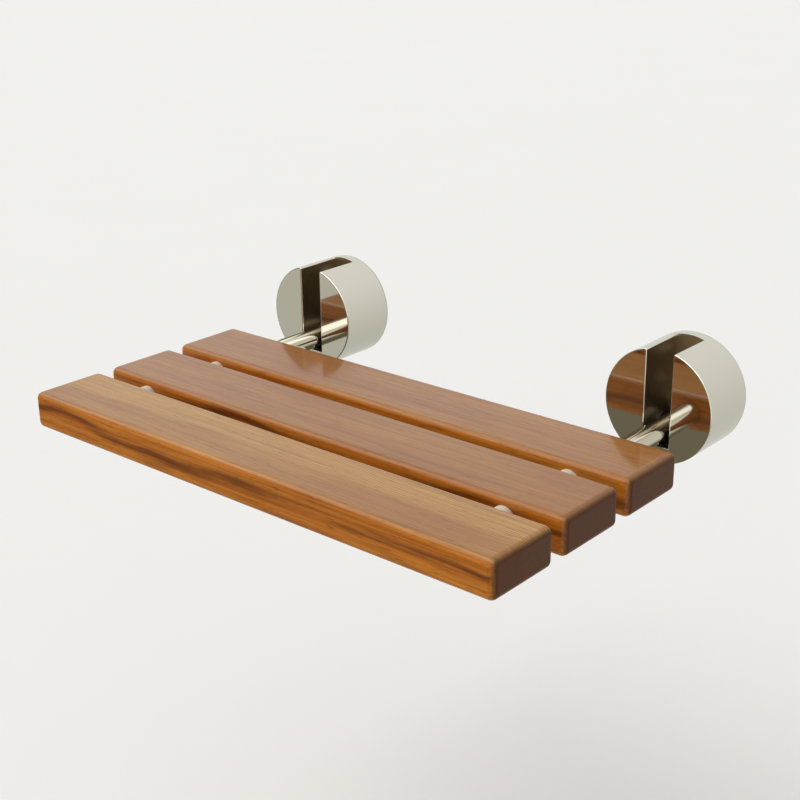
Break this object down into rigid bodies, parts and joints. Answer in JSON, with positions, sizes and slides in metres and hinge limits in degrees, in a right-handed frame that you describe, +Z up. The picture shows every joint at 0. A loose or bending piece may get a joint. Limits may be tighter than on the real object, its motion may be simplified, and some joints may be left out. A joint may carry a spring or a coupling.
{
  "type": "folding shower seat",
  "caption": "Wall-mounted folding shower seat: teak slats on round metal arms, hinged in slotted round wall brackets.",
  "frame": {"origin": "on the wall plane, midway between the two brackets and level with their axes, at the centre of the wall-screw pattern", "axes": "+X along the wall to the sitter's left, which is the right as seen from the room; +Y into the wall, so the seat reaches towards -Y; +Z up; the seat is down, level, at rest"},
  "size_m": [0.508, 0.3556, 0.1016],
  "materials": {
    "teak": "oiled teak, satin",
    "nickel": "polished nickel plate",
    "nylon": "natural light-grey nylon",
    "acetal": "black acetal",
    "stainless": "turned stainless steel",
    "silicone": "grey silicone"
  },
  "bodies": {
    "brackets": {"drum_left": "nickel", "drum_right": "nickel", "stop_pad_left": "acetal", "stop_pad_right": "acetal", "hinge_bushes_left": "acetal", "hinge_bushes_right": "acetal", "disc_springs_left": "stainless", "disc_springs_right": "stainless", "wall_plate_left": "stainless", "wall_plate_right": "stainless", "drum_screws_left": "stainless", "drum_screws_right": "stainless", "gasket_left": "silicone", "gasket_right": "silicone"},
    "seat": {"slat_rear": "teak", "slat_middle": "teak", "slat_front": "teak", "arm_left": "nickel", "arm_right": "nickel", "slat_screws_left": "stainless", "slat_screws_right": "stainless", "spacer_rear_left": "nylon", "spacer_front_left": "nylon", "spacer_rear_right": "nylon", "spacer_front_right": "nylon", "hinge_screws_left": "stainless", "hinge_screws_right": "stainless"}
  },
  "joints": [
    {"name": "seat_fold", "type": "hinge", "parent": "brackets", "child": "seat", "pos_m": [0, -0.03, -0.0235], "axis": [-1, 0, 0], "range_deg": [0, 90]}
  ]
}
